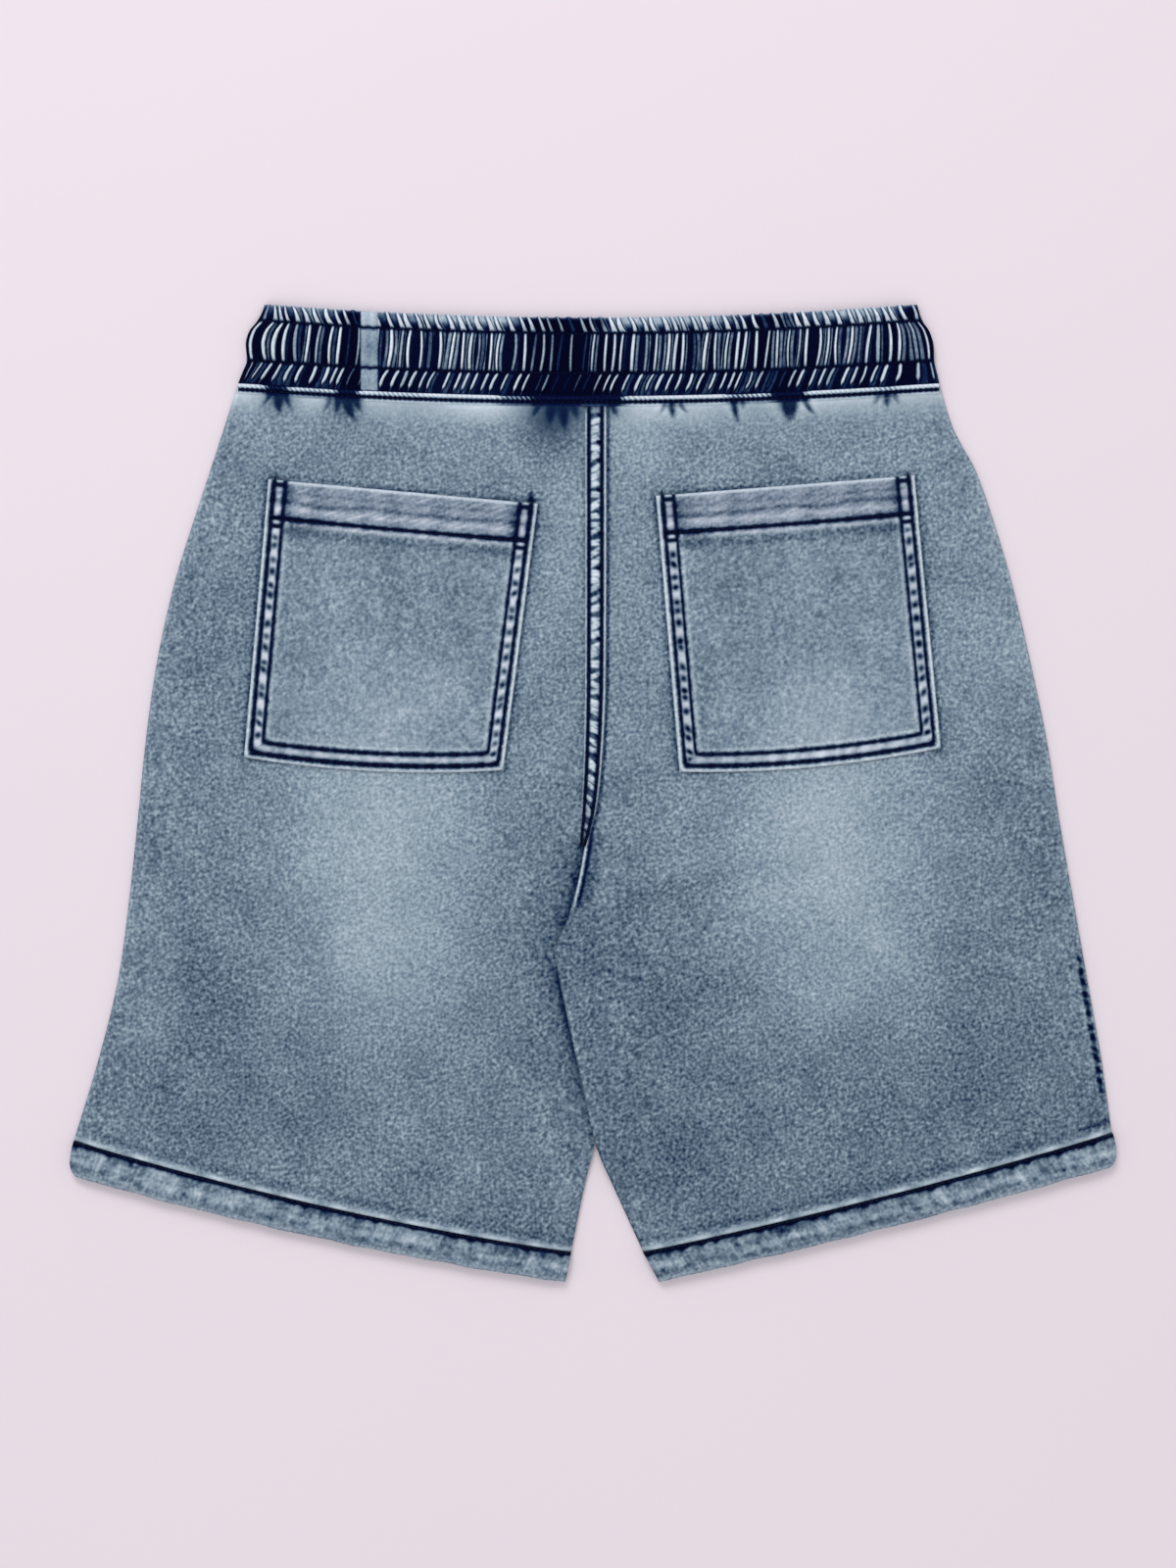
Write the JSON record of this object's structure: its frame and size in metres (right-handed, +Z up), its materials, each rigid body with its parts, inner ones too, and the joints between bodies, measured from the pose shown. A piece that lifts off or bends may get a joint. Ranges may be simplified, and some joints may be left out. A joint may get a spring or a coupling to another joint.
{
  "type": "denim shorts",
  "caption": "Pull-on washed denim shorts laid flat with the back up: gathered elastic waistband, back patch pockets, felled centre seam and turned leg hems.",
  "frame": {"origin": "on the surface the shorts lie on, under the middle of their box", "axes": "+X to the right of the back as it lies, +Y towards the waist, +Z up out of the back of the shorts"},
  "size_m": [0.5544, 0.5176, 0.0094],
  "materials": {
    "panel_denim": "washed mid-blue stretch denim twill, soft and matt",
    "pocket_denim": "the same denim, faded at the lower corners and along its stitched edges",
    "seam_denim": "felled seam, puckered, with worn pale ridges and deep blue stitching",
    "hem_denim": "turned hem, puckered and mottled pale on blue",
    "band_denim": "gathered band, deep indigo in the gathers and worn pale on their crests"
  },
  "bodies": {
    "root": {"front_left": "panel_denim", "front_right": "panel_denim", "back_left": "panel_denim", "back_right": "panel_denim", "centre_back_seam": "seam_denim", "pocket_left": "pocket_denim", "pocket_right": "pocket_denim", "waistband_front": "band_denim", "waistband_back": "band_denim", "hem_front_left": "hem_denim", "hem_front_right": "hem_denim", "hem_back_left": "hem_denim", "hem_back_right": "hem_denim"}
  },
  "joints": []
}
